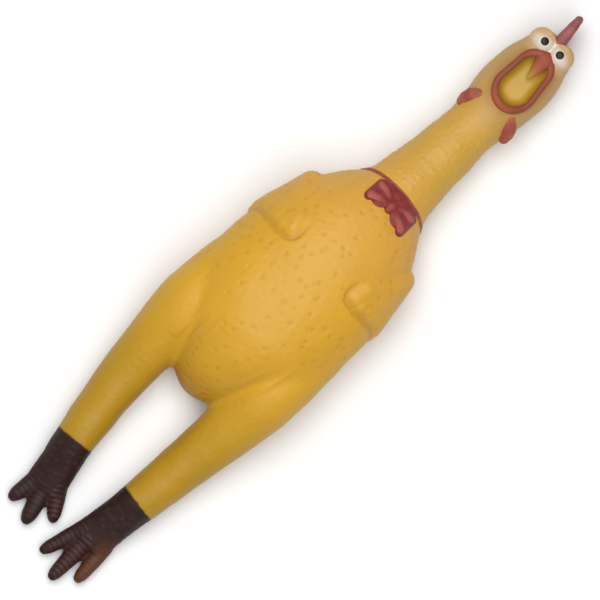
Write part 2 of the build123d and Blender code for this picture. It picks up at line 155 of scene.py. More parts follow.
class Recipe:
    """One material, with its Principled shader ready."""

    def __init__(self, name):
        self.material = bpy.data.materials.new(name)
        self.material.use_nodes = True
        self.tree = self.material.node_tree
        self.shader = self.tree.nodes["Principled BSDF"]

    def node(self, kind, settings, inputs, output=0):
        """Any node: its settings come first, then the values or links of its sockets."""
        made = self.tree.nodes.new(kind)
        for name, setting in settings.items():
            setattr(made, name, setting)
        for name, value in inputs.items():
            self.feed(made.inputs[name], value)
        return Value(self, made.outputs[output])

    def feed(self, socket, value):
        if isinstance(value, Value):
            self.tree.links.new(value.socket, socket)
        else:
            socket.default_value = value

    def rest(self):
        """Where the point is when the toy lies still, in metres."""
        return self.node("ShaderNodeAttribute", {"attribute_name": "rest"}, {}, "Vector")

    def spot(self, name):
        """A number that the mesh keeps for each point."""
        return self.node("ShaderNodeAttribute", {"attribute_name": name}, {}, "Fac")

    def axes(self, place):
        """x, y and z of a place, in millimetres."""
        apart = [self.node("ShaderNodeSeparateXYZ", {}, {0: place}, axis) for axis in range(3)]
        return [value / MM for value in apart]

    def cloud(self, place, grain_mm, detail=2.0):
        """Soft random patches of about that size, from 0 to 1."""
        inputs = {"Vector": place, "Scale": 1 / (grain_mm * MM), "Detail": detail, "Roughness": 0.55}
        return self.node("ShaderNodeTexNoise", {}, inputs, 0)

    def fade(self, value, low, high):
        """0 below low and 1 above high, smooth between them."""
        inputs = {"Value": value, "From Min": low, "From Max": high}
        return self.node("ShaderNodeMapRange", {"interpolation_type": "SMOOTHSTEP"}, inputs, 0)

    def blend(self, amount, under, over):
        """One colour over another."""
        inputs = {"Factor": amount, 6: under, 7: over}
        return self.node("ShaderNodeMix", {"data_type": "RGBA"}, inputs, 2)

    def tint(self, colour, amount):
        """The colour made lighter or darker by a number about 1."""
        inputs = {0: colour if isinstance(colour, Value) else colour[:3], 3: amount}
        return self.node("ShaderNodeVectorMath", {"operation": "SCALE"}, inputs, 0)

    def finish(self, colour, roughness, height=None, depth_mm=0.3, specular=0.5):
        """Sets the shader: colour, roughness and the surface's fine relief."""
        self.feed(self.shader.inputs["Base Color"], colour)
        self.feed(self.shader.inputs["Roughness"], roughness)
        self.shader.inputs["Specular IOR Level"].default_value = specular
        if height is not None:
            relief = {"Height": height, "Distance": depth_mm * MM, "Strength": 1.0}
            self.feed(self.shader.inputs["Normal"], self.node("ShaderNodeBump", {}, relief))
        return self.material


def ink(red, green, blue):
    """A paint colour as a screen shows it, 0 to 255, turned into the linear light that shaders use."""
    shares = [channel / 255 for channel in (red, green, blue)]
    return (*[s / 12.92 if s <= 0.04045 else ((s + 0.055) / 1.055) ** 2.4 for s in shares], 1.0)


print("shader classes ready")

# %% [markdown]
# ## Measures of the toy
# A limb of the toy is nearly round at every place, so a few cross-sections say all about its shape. Each
# station is y, x, z, half width and half depth in millimetres: y runs from the feet to the head, z up from
# the table. A smooth curve through the stations gives the sections between them.

# %% The stations of the body and legs, and the toes
BODY = [
    (-82.0, 0.5, 25.0, 3.5, 3.0), (-80, 0.5, 25.2, 9.5, 8.5), (-77, 0.5, 25.5, 14.0, 12.5),
    (-70, 0.5, 26.5, 19.0, 18.5), (-60, 0.4, 28.0, 24.5, 24.0), (-48, 0.3, 29.4, 33.5, 28.5),
    (-34, 0.2, 30.2, 42.0, 31.0), (-10, 0.2, 30.7, 46.2, 31.5), (15, 0.2, 30.3, 44.0, 31.0),
    (34, 0.2, 29.0, 39.0, 29.6), (46, 0.3, 27.3, 33.8, 27.5), (56, 0.4, 25.8, 27.6, 24.5),
    (65, 0.5, 24.6, 21.0, 20.5), (71, 0.5, 24.2, 19.0, 18.9), (80, 0.8, 23.3, 17.8, 17.7),
    (88, 0.8, 22.6, 16.7, 16.6), (96, 0.8, 21.9, 16.0, 15.9), (104, 0.8, 21.3, 15.5, 15.4),
    (112, 0.8, 20.6, 14.7, 14.6), (120, 0.8, 20.0, 14.5, 14.4), (128, 0.8, 19.4, 15.6, 15.5),
    (138, 0.7, 18.9, 17.4, 17.3), (152, 0.5, 18.6, 18.4, 18.3), (162, 0.3, 18.6, 17.5, 17.4),
    (171, 0.1, 19.0, 14.8, 14.7), (179, 0.0, 20.0, 12.0, 11.9), (184, -0.2, 21.0, 7.0, 6.9),
]
RIGHT_LEG = [
    (-171, -12.4, 6.2, 11.4, 5.2), (-160, -14.8, 8.0, 11.2, 7.2), (-152, -17.0, 9.8, 11.1, 9.0),
    (-140, -19.9, 12.4, 11.3, 11.2), (-120, -23.9, 14.6, 12.3, 12.2), (-100, -27.1, 17.4, 13.3, 13.2),
    (-80, -29.0, 22.0, 15.2, 15.1), (-56, -30.0, 28.5, 18.2, 18.1), (-42, -29.0, 29.8, 19.4, 19.1),
    (-28, -28.8, 29.5, 18.8, 18.4), (-14, -28.0, 29.0, 18.0, 17.4), (0, -26.0, 28.5, 14.0, 14.0),
]
LEFT_LEG = [
    (-174, 23.6, 6.2, 11.8, 5.2), (-162, 24.8, 8.0, 11.0, 7.2), (-152, 25.6, 9.8, 10.8, 9.0),
    (-140, 26.6, 12.4, 11.3, 11.2), (-120, 28.0, 14.6, 12.4, 12.3), (-100, 29.3, 17.4, 13.6, 13.5),
    (-80, 30.4, 22.0, 15.4, 15.3), (-56, 30.2, 28.5, 18.2, 18.1), (-42, 29.2, 29.8, 19.2, 19.1),
    (-28, 29.0, 29.5, 18.7, 18.4), (-14, 28.3, 29.0, 18.2, 17.4), (0, 26.0, 28.5, 14.0, 14.0),
]
# A toe is its root's x and y, the x and y of the middle of its round tip, and how thick it is.
TOES = [
    (-18.3, -166, -19.6, -182.4, 0.96), (-12.8, -168, -7.2, -185.6, 1.0), (-7.8, -163.5, 1.2, -175.6, 0.93),
    (17.8, -168, 12.0, -189.6, 0.86), (22.8, -170, 24.3, -195.3, 0.93), (32.2, -168, 34.2, -186.8, 0.82),
]
TOE_ROOT_R, TOE_MIDDLE_R, TOE_TIP_R, CLAW_R, CLAW_REACH, TOE_Z = 5.3, 5.0, 4.3, 3.4, 2.5, 5.1


def at(x, y, z):
    """A place on the toy, given in millimetres."""
    return Vector((x, y, z)) * MM


def slope(stations, k, part):
    """The slope of the curve at a station, from its neighbours."""
    before = stations[max(k - 1, 0)]
    after = stations[min(k + 1, len(stations) - 1)]
    return (after[part] - before[part]) / (after[0] - before[0])


def section(stations, y):
    """x, z, half width and half depth at y, on a smooth curve through the stations."""
    k = max(i for i in range(len(stations) - 1) if stations[i][0] <= y or i == 0)
    span = stations[k + 1][0] - stations[k][0]
    t = (y - stations[k][0]) / span
    values = []
    for part in range(1, 5):
        start, end = stations[k][part], stations[k + 1][part]
        leave, arrive = slope(stations, k, part) * span, slope(stations, k + 1, part) * span
        bend = t * (1 - t) * ((1 - t) * (leave - (end - start)) - t * (arrive - (end - start)))
        values.append(start + (end - start) * t + bend)
    return values


print("widest trunk section:", [round(v, 1) for v in section(BODY, -10)])

# %% [markdown]
# ## Clay tools
# `sweep` bridges circles one to the next, which makes any tube. `ball` and `rod` add rounded lumps.
# `knead` is Blender's voxel remesh: it melts overlapping lumps into one closed skin with even faces, as
# thumbs do with clay. The other way is to weld each limb on by hand, which gives fewer faces but takes
# long and leaves creases at each weld.

# %% Sweep, ball, rod, knead and smooth
LUMP_SEGMENTS = 32


def sweep(bm, frames, closed=False, segments=LUMP_SEGMENTS):
    """Bridges a circle in each frame to the next one. A frame takes a unit circle to its place."""
    rings = []
    for number, place in enumerate(frames):
        cap = not closed and number in (0, len(frames) - 1)
        made = bmesh.ops.create_circle(bm, segments=segments, radius=1, cap_ends=cap, matrix=place)
        rings.append({edge for vert in made["verts"] for edge in vert.link_edges})
    following = rings[1:] + rings[:1] if closed else rings[1:]
    for ring, next_ring in zip(rings, following):
        bmesh.ops.bridge_loops(bm, edges=list(ring | next_ring))


def ball(bm, centre, half, turn=None):
    """A rounded lump with its own half sizes along its three axes, in millimetres."""
    place = Matrix.Translation(at(*centre))
    if turn is not None:
        place = place @ turn.to_4x4()
    place = place @ Matrix.Diagonal((*[size * MM for size in half], 1))
    bmesh.ops.create_icosphere(bm, subdivisions=4, radius=1, matrix=place)


def rod(bm, points, radii):
    """A round rod along a few points, thick or thin as the radii say, with round ends."""
    frames = []
    for number, point in enumerate(points):
        ahead = Vector(points[min(number + 1, len(points) - 1)])
        behind = Vector(points[max(number - 1, 0)])
        turn = (ahead - behind).to_track_quat("Z", "Y").to_matrix().to_4x4()
        radius = radii[number] * MM
        frames.append(Matrix.Translation(at(*point)) @ turn @ Matrix.Diagonal((radius, radius, 1, 1)))
    sweep(bm, frames)
    for end in (0, -1):
        ball(bm, points[end], [radii[end]] * 3)


def limb(bm, stations, step=2.5):
    """A tube through the stations."""
    low, high = stations[0][0], stations[-1][0]
    count = round((high - low) / step)
    upright = Matrix.Rotation(pi / 2, 4, "X")
    frames = []
    for number in range(count + 1):
        y = low + (high - low) * number / count
        x, z, half_width, half_depth = section(stations, y)
        size = Matrix.Diagonal((half_width * MM, half_depth * MM, 1, 1))
        frames.append(Matrix.Translation(at(x, y, z)) @ upright @ size)
    sweep(bm, frames, segments=64)


def knead(bm, grain_mm):
    """Melts the lumps into one closed skin of even faces, about one grain wide."""
    bmesh.ops.recalc_face_normals(bm, faces=bm.faces[:])
    mesh = bpy.data.meshes.new("lumps")
    bm.to_mesh(mesh)
    bm.free()
    lumps = bpy.data.objects.new("lumps", mesh)
    scene.collection.objects.link(lumps)
    melt = lumps.modifiers.new("melt", "REMESH")
    melt.mode = "VOXEL"
    melt.voxel_size = grain_mm * MM
    kneaded = bmesh.new()
    kneaded.from_object(lumps, bpy.context.evaluated_depsgraph_get())
    bpy.data.objects.remove(lumps)
    bpy.data.meshes.remove(mesh)
    return kneaded


def smooth(bm, rounds, verts=None):
    """Relaxes the surface, as a wet sponge does."""
    chosen = bm.verts[:] if verts is None else verts
    for _ in range(rounds):
        bmesh.ops.smooth_vert(bm, verts=chosen, factor=0.5, use_axis_x=True, use_axis_y=True, use_axis_z=True)


def gentle(value, low, high):
    """0 below low and 1 above high, smooth between them, for shaping the mesh."""
    t = min(max((value - low) / (high - low), 0.0), 1.0)
    return t * t * (3 - 2 * t)


print("clay tools ready")

# %% [markdown]
# ## The skin in the rough
# The trunk, neck and head are one tube, and each leg is another. The toes are rods. Each eye sits on a
# bulge of the skull with a lid over it, which gives the head its two round top corners. Each wing is folded
# against the side, its feathers fanned out from the shoulder: a feather is a thick rod laid along the
# trunk's curve and half sunk into it, so that only its back stands out. All of it is then kneaded and
# smoothed together, and the thighs are smoothed more, because they flow into the trunk without a fold.

# %% Lump the skin together
GRAIN = 0.75
FACE_X, FACE_Y, FACE_LEAN = 0.8, 155.0, radians(4.0)  # the face leans a little on the head
BULGE_X, BULGE_Y, BULGE_Z, BULGE_R = 6.8, 22.0, 28.6, 7.0
EYE_X, EYE_Y, EYE_Z, EYE_R = 5.8, 22.0, 30.0, 6.2
LID_R, LID_THICK, LID_Z, LID_DROOP = 5.9, 1.1, 33.6, 2.2
TOE_ROOT_LIFT, TOE_TIP_DROP, TOE_MIDDLE = 0.6, 0.5, 0.55
THIGH_LOW, THIGH_HIGH, THIGH_ROUNDS = -95, 4, 36  # where the thighs flow into the trunk
SHOULDER_Y, SHOULDER_ANGLE = 38.5, 82.0
FEATHER_TIPS = [
    (34, 15.8), (41, 15.0), (48, 15.4), (56, 15.2), (64, 15.6),
    (73, 15.0), (82, 13.5), (91, 11.0), (100, 8.0),
]
FEATHER_RADII, FEATHER_RISES = (7.4, 6.9, 6.4, 6.0, 5.4), (-3.2, -4.0, -4.1, -3.5, -2.7)
FAN_OPENS = 1.25  # above 1, a feather reaches its tip's angle before its tip
WING_SHIFTS = {1: 2.0, -1: 0.0}  # the left wing is folded a little further round the side


def on_face(x, y, z):
    """A point of the leaning face, as a place on the toy in millimetres."""
    across = FACE_X + x * cos(FACE_LEAN) - y * sin(FACE_LEAN)
    along = FACE_Y + x * sin(FACE_LEAN) + y * cos(FACE_LEAN)
    return (across, along, z)


def on_trunk(y, angle, rise):
    """A place beside the trunk: the angle, in degrees, goes from the belly round to the chicken's left."""
    x, z, half_width, half_depth = section(BODY, y)
    turn = radians(angle)
    outwards = Vector((sin(turn) * half_depth, 0, cos(turn) * half_width)).normalized()
    return Vector((x + half_width * sin(turn), y, z + half_depth * cos(turn))) + outwards * rise


def wing_feathers(side, shift):
    """The middle lines of one wing's feathers, in millimetres."""
    feathers = []
    for tip_angle, tip_y in FEATHER_TIPS:
        points = []
        for number, rise in enumerate(FEATHER_RISES):
            along = number / (len(FEATHER_RISES) - 1)
            angle = SHOULDER_ANGLE + (tip_angle + shift - SHOULDER_ANGLE) * min(1.0, along * FAN_OPENS)
            y = SHOULDER_Y + (tip_y - SHOULDER_Y) * along
            points.append(on_trunk(y, side * angle, rise))
        feathers.append(points)
    return feathers


def toe_line(toe):
    """The points of a toe's rod and of the claw beyond it."""
    root = Vector((toe[0], toe[1], TOE_Z + TOE_ROOT_LIFT))
    tip = Vector((toe[2], toe[3], TOE_Z - TOE_TIP_DROP))
    return root, tip, tip + (tip - root).normalized() * CLAW_REACH


clay = bmesh.new()
limb(clay, BODY)
for leg in (RIGHT_LEG, LEFT_LEG):
    limb(clay, leg)
for toe in TOES:
    root, tip, claw = toe_line(toe)
    radii = [toe[4] * radius for radius in (TOE_ROOT_R, TOE_MIDDLE_R, TOE_TIP_R)]
    rod(clay, [root, root.lerp(tip, TOE_MIDDLE), tip], radii)
    ball(clay, claw, [toe[4] * CLAW_R] * 3)
for side in (-1, 1):
    ball(clay, on_face(side * BULGE_X, BULGE_Y, BULGE_Z), [BULGE_R] * 3)
    lid = []
    for angle in range(15, 166, 15):
        outwards = radians(angle)
        lid.append(on_face(side * (EYE_X + LID_R * cos(outwards)), EYE_Y + LID_R * sin(outwards),
                           LID_Z - LID_DROOP * abs(cos(outwards))))
    rod(clay, lid, [LID_THICK] * len(lid))
WINGS = {side: wing_feathers(side, shift) for side, shift in WING_SHIFTS.items()}
for feather in WINGS[1] + WINGS[-1]:
    rod(clay, feather, FEATHER_RADII)
skin = knead(clay, GRAIN)
smooth(skin, 4)
smooth(skin, THIGH_ROUNDS, [vert for vert in skin.verts if THIGH_LOW < vert.co.y / MM < THIGH_HIGH])
print(f"skin: {len(skin.faces)} faces")

# %% [markdown]
# ## The open mouth
# The mouth is a shallow egg-shaped pocket with a rounded floor. A boolean cut would leave long thin faces,
# so the skin inside the outline is pressed down, as a thumb presses clay, and kneaded once more.
# The egg is the outline round two circles: a wide one at the jaw and a narrow one under the beak.

# %% Press the mouth in
MOUTH_X, JAW_R, JAW_Y, UPPER_R, UPPER_Y = 0.6, 8.7, -6.3, 7.3, 7.2
MOUTH_FLOOR_Z, MOUTH_SLOPE = 27.4, 4.2
HEAD_Y = 130.0  # the head begins here


def out_of_mouth(x, y):
    """How far a point of the face lies outside the egg outline, in millimetres; inside it is negative."""
    x, y = abs(x - MOUTH_X), y - JAW_Y
    span = UPPER_Y - JAW_Y
    lean = (JAW_R - UPPER_R) / span
    side = sqrt(1 - lean * lean)
    along = y * side - x * lean
    if along < 0:
        return sqrt(x * x + y * y) - JAW_R
    if along > side * span:
        return sqrt(x * x + (y - span) ** 2) - UPPER_R
    return x * side + y * lean - JAW_R


def to_face(place):
    """x and y on the leaning face of a place on the toy, in millimetres."""
    across, along = place.x / MM - FACE_X, place.y / MM - FACE_Y
    upright, lean = cos(FACE_LEAN), sin(FACE_LEAN)
    return across * upright + along * lean, along * upright - across * lean


for vert in skin.verts:
    if vert.co.y > HEAD_Y * MM and vert.co.z > MOUTH_FLOOR_Z * MM:
        inside = -out_of_mouth(*to_face(vert.co))
        if inside > 0:
            depth = sqrt(1 - (1 - min(inside / MOUTH_SLOPE, 1)) ** 2)
            vert.co.z += (MOUTH_FLOOR_Z * MM - vert.co.z) * depth
skin = knead(skin, GRAIN)
smooth(skin, 3)
print(f"mouth pressed in, {len(skin.faces)} faces")

# %% [markdown]
# ## Pimples, folds and the flat back
# A plucked chicken's skin has round pimples where the feathers were. They stand out most on the neck. The
# toes have cross folds, the shanks have small scales, and a crease runs round each wing. They are real
# relief, so each point moves along its normal by a height that depends on where it is. Two numbers are
# kept for each point. The first is how far it stands on a fold or scale, where the paint is lighter, partly
# worn thin and partly a painted highlight. The second is how deep it lies in a pit or crease, where the
# vinyl gets painted shade.

# %% Raise the relief
PIMPLE_SPACING, PIMPLE_SIZE = 3.3, 0.46
NECK_PIMPLE, BODY_PIMPLE, LUMP_HEIGHT, LUMP_SIZE = 0.36, 0.12, 0.40, 13.0
# the last of the pit numbers and of the groove numbers is how much painted shade a pit and the crease round a
# wing get
PIT_SPACING, PIT_SIZE, PIT_DEPTH, PIT_SHADE = 5.4, 0.32, 0.32, 0.45
WING_LOW, WING_HIGH, WING_INNER = -4, 50, 15
GROOVE_DEPTH, GROOVE_HALF, GROOVE_SHADE = 0.6, 1.5, 0.7  # the crease round a wing
QUILL_HEIGHT, QUILL_TURN = 0.5, 27.0  # the shallow grooves between feathers, and the angle between them
FOLD_SPACING, FOLD_HEIGHT, SCALE_SPACING, SCALE_HEIGHT = 2.7, 0.42, 3.4, 0.30
TOE_FOLDS = (0.45, 0.4, 1.0, 0.6, 1.0, 0.35)  # how deep each toe's folds are, in the order of TOES
# A crease of the thigh's skin: x and y of its two ends, half its width and its height.
CREASES = [
    (-24.6, -67, -23.6, -38, 2.6, 1.5), (-18.0, -62, -17.2, -42, 1.3, 0.6),
    (-13.4, -58, -12.6, -38, 1.3, 0.6),
    (24.4, -64, 32.6, -27, 2.6, 1.3), (17.5, -60, 22.5, -40, 1.3, 0.5),
]


def dome(place, spacing, size=PIMPLE_SIZE):
    """0 to 1: a round dome in each cell of a scattered pattern."""
    near = noise.voronoi(place / (spacing * MM))[0][0]
    return max(0.0, 1 - (near / size) ** 2)


def crease(place):
    """The height of the thighs' creases at a place, in millimetres."""
    height = 0.0
    for x0, y0, x1, y1, half, rise in CREASES:
        along = (place.y / MM - y0) / (y1 - y0)
        if 0 < along < 1:
            beside = (place.x / MM - x0 - (x1 - x0) * along) / half
            height += rise * (1 - along) ** 0.5 * (4 * along * (1 - along)) ** 0.5 / (1 + beside ** 2) ** 2
    return height


def fold(place, normal):
    """0 to 1: cross folds on the upper side of the nearest toe."""
    nearest, height = 7.0, 0.0
    for toe, depth in zip(TOES, TOE_FOLDS):
        root, tip, claw = toe_line(toe)
        axis = (claw - root).normalized()
        away = place / MM - root
        along = away.dot(axis)
        beside = (away - axis * along).length
        if beside < nearest and -6 < along < (claw - root).length:
            nearest = beside
            height = 0.5 + 0.5 * cos(2 * pi * along / FOLD_SPACING)
            height *= gentle(along, -6, -1) * depth
    return height * gentle(normal.z, 0.0, 0.6)


def wing_side(place):
    """1 for the left or -1 for the right wing where one may be near, else 0; the place is in millimetres."""
    if WING_LOW < place.y < WING_HIGH and abs(place.x) > WING_INNER:
        return 1 if place.x > 0 else -1
    return 0


def out_of_wing(place, side):
    """How far a place is from one wing's feathers, in millimetres; on them it is about 0."""
    nearest = 9.0
    for feather in WINGS[side]:
        for number in range(len(feather) - 1):
            share = intersect_point_line(place, feather[number], feather[number + 1])[1]
            share = min(max(share, 0.0), 1.0)
            radius = FEATHER_RADII[number] + (FEATHER_RADII[number + 1] - FEATHER_RADII[number]) * share
            nearest = min(nearest, (place - feather[number].lerp(feather[number + 1], share)).length - radius)
    return nearest


def quill(place, side):
    """The shallow grooves between a wing's feathers, which fan out from the shoulder."""
    shoulder = on_trunk(SHOULDER_Y + 4, side * SHOULDER_ANGLE, 0)
    x, z, half_width, half_depth = section(BODY, place.y / MM)
    round_trunk = atan2((place.x / MM - x) / half_width * side, (place.z / MM - z) / half_depth)
    down = max(shoulder.y - place.y / MM, 1.0)
    fan = atan2((round_trunk - radians(SHOULDER_ANGLE)) * half_width, down)
    groove = (0.5 + 0.5 * cos(2 * pi * fan / radians(QUILL_TURN))) ** 3
    return -QUILL_HEIGHT * groove * gentle(down, 10, 22)


def relief(place, normal):
    """Height of the skin's relief in millimetres, how much of it is fold or scale (lighter: worn paint and a
    painted highlight), and how deep it lies (darker: painted shade).
    """
    y, z = place.y / MM, place.z / MM
    # each of these is 1 on its own part of the toy and fades out at its ends
    neck = gentle(y, 62, 74) * (1 - gentle(y, 118, 134))
    shank = 1 - gentle(y, -146, -141)
    toes = 1 - gentle(y, -166, -160)
    face = gentle(y, 130, 140) * gentle(z, 20, 27)
    pimple = (NECK_PIMPLE * neck + BODY_PIMPLE * (1 - neck) * (1 - face)) * (1 - shank)
    height = pimple * dome(place, PIMPLE_SPACING)
    height += LUMP_HEIGHT * noise.noise(place / (LUMP_SIZE * MM)) * (1 - face)
    trunk = gentle(y, -86, -78) * (1 - gentle(y, 54, 64)) * gentle(normal.z, -0.1, 0.3)
    # deep is how much painted shade a point gets in a pit or in the crease round a wing
    deep = 0.0
    if trunk > 0:
        thigh = gentle(abs(place.x / MM), 8, 24) * (1 - gentle(y, -50, -20))
        pit = dome(place, PIT_SPACING, PIT_SIZE) * trunk * (1 - thigh)
        height += crease(place) * trunk - PIT_DEPTH * pit
        deep = PIT_SHADE * pit
    side = wing_side(place / MM)
    if side:
        edge = (out_of_wing(place / MM, side) - GROOVE_HALF) / GROOVE_HALF
        height += quill(place, side) * (1 - gentle(edge, -1.3, -0.7))
        groove = max(0.0, 1 - edge * edge) * (1 - gentle(y, 15, 26))
        height -= GROOVE_DEPTH * groove
        deep = max(deep, GROOVE_SHADE * groove)
    # the upper sides of the toes' folds and the shanks' scales are made lighter: worn paint and a painted
    # highlight
    wear_and_highlight = 0.0
    if toes > 0:
        wear_and_highlight = fold(place, normal) * toes
        height += FOLD_HEIGHT * wear_and_highlight
    if shank > toes:
        scales = dome(place, SCALE_SPACING) * (shank - toes) * gentle(normal.z, -0.2, 0.4)
        height += SCALE_HEIGHT * scales
        wear_and_highlight += scales * 0.5
    return height, wear_and_highlight, deep


skin.normal_update()
wear_and_highlight_layer = skin.verts.layers.float.new("wear_and_highlight")
crease_shade_layer = skin.verts.layers.float.new("deep")
moves = [(vert, relief(vert.co, vert.normal)) for vert in skin.verts]
for vert, (height, wear_and_highlight, deep) in moves:
    vert.co += vert.normal * height * MM
    vert.co.z = max(vert.co.z, 0.0)
    vert[wear_and_highlight_layer] = wear_and_highlight
    vert[crease_shade_layer] = deep
skin.normal_update()
print(f"relief raised on {len(moves)} points")

# %% [markdown]
# ## Finding the surface
# The painted features sit on the skin, so they need to know how high it is under them. A BVH tree of the
# skin answers that: a ray straight down from above hits the surface.

# %% The height of the skin
skin_tree = BVHTree.FromBMesh(skin)


def skin_z(x, y):
    """The height of the skin under a point, in millimetres."""
    hit = skin_tree.ray_cast(at(x, y, 200), Vector((0, 0, -1)))[0]
    return hit.z / MM


print(f"belly top {skin_z(0, -10):.1f} mm, forehead {skin_z(0, 176):.1f} mm")

# %% [markdown]
# ## The vinyl
# Cheap toy vinyl is coloured through, ochre yellow here, and satin. The skin is a little greener on the
# legs and browner under the tail and on the head, where the colour was sprayed. Paint fades out softly
# at its edges because it comes from a spray gun over a mask: brown on the feet, white round the eyes, red
# round the mouth. Small pits and a fine grain come from the mould.

# %% Skin material
BELLY, CHEST, LEG = ink(207, 157, 40), ink(210, 157, 60), ink(176, 136, 26)
NECK, HEAD, TAIL = ink(199, 154, 62), ink(186, 146, 80), ink(178, 127, 24)
BEIGE, WHITE, MOUTH_RED = ink(206, 170, 126), ink(219, 207, 192), ink(150, 84, 56)
# the second colour here is painted shade for the pits and the creases round the wings
POCKET, CREASE_SHADE = ink(184, 147, 50), ink(166, 112, 26)
# the third brown here is worn paint and a painted highlight on the folds and scales
BROWN, THIN_BROWN, WORN_AND_HIGHLIT_BROWN = ink(34, 13, 12), ink(98, 58, 26), ink(80, 45, 38)


def eye_spray(recipe, x, y):
    """1 in the middle of the white sprayed across both eyes, 0 outside it."""
    ring = (((x + 0.5) / 13.0) ** 2 + ((y - 175.6) / 5.4) ** 2) ** 0.5
    return ring, 1 - recipe.fade(ring, 0.58, 1.12)


def make_skin():
    """The vinyl of the whole skin, with its sprayed colours."""
    recipe = Recipe("vinyl_skin")
    place = recipe.rest()
    x, y, z = recipe.axes(place)
    patches = recipe.cloud(place, 22)
    speckle = recipe.cloud(place, 2.2, 3.0)
    # the vinyl's own colour, from the legs up to the head
    colour = recipe.blend(recipe.fade(y, -112, -42), LEG, BELLY)
    colour = recipe.blend(recipe.fade(y, 0, 50), colour, CHEST)
    colour = recipe.blend(recipe.fade(y, 64, 84), colour, NECK)
    colour = recipe.blend(recipe.fade(y, 116, 138), colour, HEAD)
    under_tail = (1 - recipe.fade(y, -79, -62)) * (1 - recipe.fade(abs(x), 9, 16)) * recipe.fade(y, -86, -82)
    colour = recipe.blend(under_tail * 0.75, colour, TAIL)
    # red sprayed on the mouth's rim drifts onto the cheeks
    egg = (((x - 1.2) / 12.6) ** 2 + ((y - 154.6) / 19.4) ** 2) ** 0.5
    drift = (1 - recipe.fade(egg, 0.96, 1.3)) * recipe.fade(egg, 0.55, 0.8) * recipe.fade(z, 24, 30)
    colour = recipe.blend(drift * 0.4, colour, MOUTH_RED)
    colour = recipe.blend((1 - recipe.fade(egg, 0.72, 0.88)) * recipe.fade(z, 24, 26), colour, POCKET)
    # beige and then white round the eyes, on the front of the head only
    ring, white = eye_spray(recipe, x, y)
    front = recipe.fade(z, 22, 29)
    colour = recipe.blend((1 - recipe.fade(ring, 1.0, 1.75)) * front * 0.8, colour, BEIGE)
    colour = recipe.blend(white * front * 0.95, colour, WHITE)
    # the feet's brown ends in a line that slants a little, one way on each leg
    left = recipe.fade(x, 4, 8)
    edge = (0.154 * (x + 19.8) - 141.0) * (1 - left) + (-0.098 * (x - 26.8) - 139.4) * left
    brown = 1 - recipe.fade(y - edge + recipe.cloud(place, 3.5) * 1.4, 0.0, 1.5)
    thin = recipe.fade(x, 26, 34) * recipe.fade(-1 * y, 156, 176)
    # brown is sprayed thinner on the left foot's outer toe; on the folds and scales it is lighter, partly
    # worn thin and partly a painted highlight
    wear_and_highlight = recipe.spot("wear_and_highlight")
    paint = recipe.blend(thin * 0.75 + patches * 0.12, BROWN, THIN_BROWN)
    paint = recipe.blend(wear_and_highlight * 0.55, paint, WORN_AND_HIGHLIT_BROWN)
    colour = recipe.blend(brown, colour, paint)
    # painted shade: the pits and the crease round each wing are darker
    colour = recipe.blend(recipe.spot("deep") * 0.55, colour, CREASE_SHADE)
    colour = recipe.tint(colour, 0.90 + patches * 0.12 + speckle * 0.08)
    height = recipe.cloud(place, 0.55, 2.0) * 0.22 + recipe.cloud(place, 5.0, 2.0) * 0.8
    roughness = 0.44 + speckle * 0.10 - patches * 0.05 + brown * 0.12
    return recipe.finish(colour, roughness, height, 0.22, specular=0.35)


SKIN = make_skin()
print("skin material:", len(SKIN.node_tree.nodes), "nodes")

# %% [markdown]
# ## From bmesh to piece
# `piece_from` closes each piece: it turns the bmesh into an object, stores the rest place of each point
# and gives it its finish.

# %% Make an object from a shape


def piece_from(bm, name, material):
    """A finished piece from its bmesh, at the origin, with its place in its mesh."""
    for face in bm.faces:
        face.smooth = True
    mesh = bpy.data.meshes.new(name)
    bm.to_mesh(mesh)
    bm.free()
    rest = mesh.attributes.new("rest", "FLOAT_VECTOR", "POINT")
    rest.data.foreach_set("vector", [number for vert in mesh.vertices for number in vert.co])
    mesh.materials.append(material)
    made = bpy.data.objects.new(name, mesh)
    scene.collection.objects.link(made)
    print(f"{name}: {len(mesh.polygons)} faces")
    return made


# %% [markdown]
# ## Cutting the skin where it bends
# The skin is cut across between the stretches where the toy bends, and the wings and the two legs become
# pieces of their own. Both sides of a cut have the same points. Each piece gets a wall of its real
# thickness, and the outer faces keep the normals of the whole skin, so no seam shows.

# %% Cut the skin into pieces
WALL, WING_MARGIN = 1.5, 2.0
LEG_SPLIT_X = 6.8  # between the feet; the right foot's inner toe reaches past the middle
SEAMS = (88, 64, -10, -84, -101, -123)
for y in SEAMS:
    everything = skin.verts[:] + skin.edges[:] + skin.faces[:]
    bmesh.ops.bisect_plane(skin, geom=everything, dist=1e-7, plane_co=at(0, y, 0), plane_no=(0, 1, 0))
skin.normal_update()


def mark(place):
    """A point's place as a key, fine enough to tell neighbours apart."""
    return tuple(round(number, 7) for number in place)


skin_normals = {mark(vert.co): vert.normal.copy() for vert in skin.verts}
skin.faces.index_update()
wing_faces = {1: set(), -1: set()}
for face in skin.faces:
    centre = face.calc_center_median() / MM
    side = wing_side(centre)
    if side and out_of_wing(centre, side) < WING_MARGIN:
        wing_faces[side].add(face.index)


def stretch(low, high, side=0):
    """Picks the faces between two places along y, on one side or on both, without the wings."""
    def picked(face):
        centre = face.calc_center_median() / MM
        on_wing = face.index in wing_faces[1] or face.index in wing_faces[-1]
        return low < centre.y < high and (centre.x - LEG_SPLIT_X) * side >= 0 and not on_wing
    return picked


def wing(side):
    """Picks the faces of one wing."""
    return lambda face: face.index in wing_faces[side]


